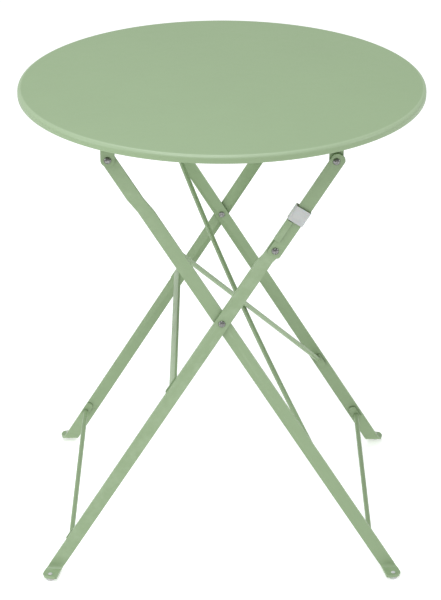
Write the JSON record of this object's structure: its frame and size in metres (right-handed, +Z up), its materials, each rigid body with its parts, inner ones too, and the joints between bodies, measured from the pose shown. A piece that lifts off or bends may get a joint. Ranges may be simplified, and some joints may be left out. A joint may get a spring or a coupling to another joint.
{
  "type": "folding bistro table",
  "caption": "Round folding bistro table in green strip and sheet steel on crossed legs, with break links and a slide-down lock ring.",
  "frame": {"origin": "on the floor under the middle of the round top", "axes": "+Z up; +Y to the back, along the leg pivots; the front face with the lock ring looks to -Y; +X to the right, towards the break links"},
  "size_m": [0.6, 0.6, 0.71],
  "materials": {
    "painted_steel": "sage green powder coat, low satin, fine orange peel",
    "white_plastic": "moulded, matt",
    "rivet_steel": "formed heads, dull",
    "grey_plastic": "moulded, matt"
  },
  "bodies": {
    "inner_frame": {"inner_leg_front": "painted_steel", "inner_leg_rear": "painted_steel", "brace_rod_straight": "painted_steel", "brace_rod_bowed": "painted_steel", "inner_foot_rod": "painted_steel", "inner_foot_pad_front": "grey_plastic", "inner_foot_pad_rear": "grey_plastic", "crossing_rivet_front": "rivet_steel", "crossing_rivet_rear": "rivet_steel", "inner_leg_rivet_front": "rivet_steel", "inner_leg_rivet_rear": "rivet_steel"},
    "outer_frame": {"outer_leg_front": "painted_steel", "outer_leg_rear": "painted_steel", "outer_cross_bar": "painted_steel", "outer_foot_rod": "painted_steel", "outer_foot_pad_front": "grey_plastic", "outer_foot_pad_rear": "grey_plastic", "link_rivet_front": "rivet_steel", "link_rivet_rear": "rivet_steel"},
    "front_link": {"break_link_front": "painted_steel"},
    "rear_link": {"break_link_rear": "painted_steel"},
    "top": {"table_top": "painted_steel", "left_rail": "painted_steel", "right_rail": "painted_steel", "right_ear_rivet_front": "rivet_steel", "right_ear_rivet_rear": "rivet_steel", "left_ear_rivet_front": "rivet_steel", "left_ear_rivet_rear": "rivet_steel"},
    "ring": {"lock_ring": "white_plastic"}
  },
  "joints": [
    {"name": "leg_fold", "type": "hinge", "parent": "inner_frame", "child": "outer_frame", "pos_m": [0, 0, 0.4165], "axis": [0, -1, 0], "range_deg": [0, 60]},
    {"name": "front_link_turn", "type": "hinge", "parent": "outer_frame", "child": "front_link", "pos_m": [0.07523, -0.2235, 0.53786], "axis": [0, 1, 0], "range_deg": [0, 167]},
    {"name": "rear_link_turn", "type": "hinge", "parent": "outer_frame", "child": "rear_link", "pos_m": [0.07523, 0.2235, 0.53786], "axis": [0, 1, 0], "range_deg": [0, 167]},
    {"name": "top_turn", "type": "hinge", "parent": "front_link", "child": "top", "pos_m": [0.159, 0, 0.673], "axis": [0, -1, 0], "range_deg": [0, 55.1]},
    {"name": "ring_slide", "type": "slide", "parent": "front_link", "child": "ring", "axis": [0.5269, 0, 0.8499], "range_m": [-0.024, 0]}
  ],
  "couplings": [
    {"joint": "front_link_turn", "follows": "leg_fold", "ratio": 2.7814},
    {"joint": "rear_link_turn", "follows": "leg_fold", "ratio": 2.7814},
    {"joint": "top_turn", "follows": "leg_fold", "ratio": 0.91709}
  ]
}
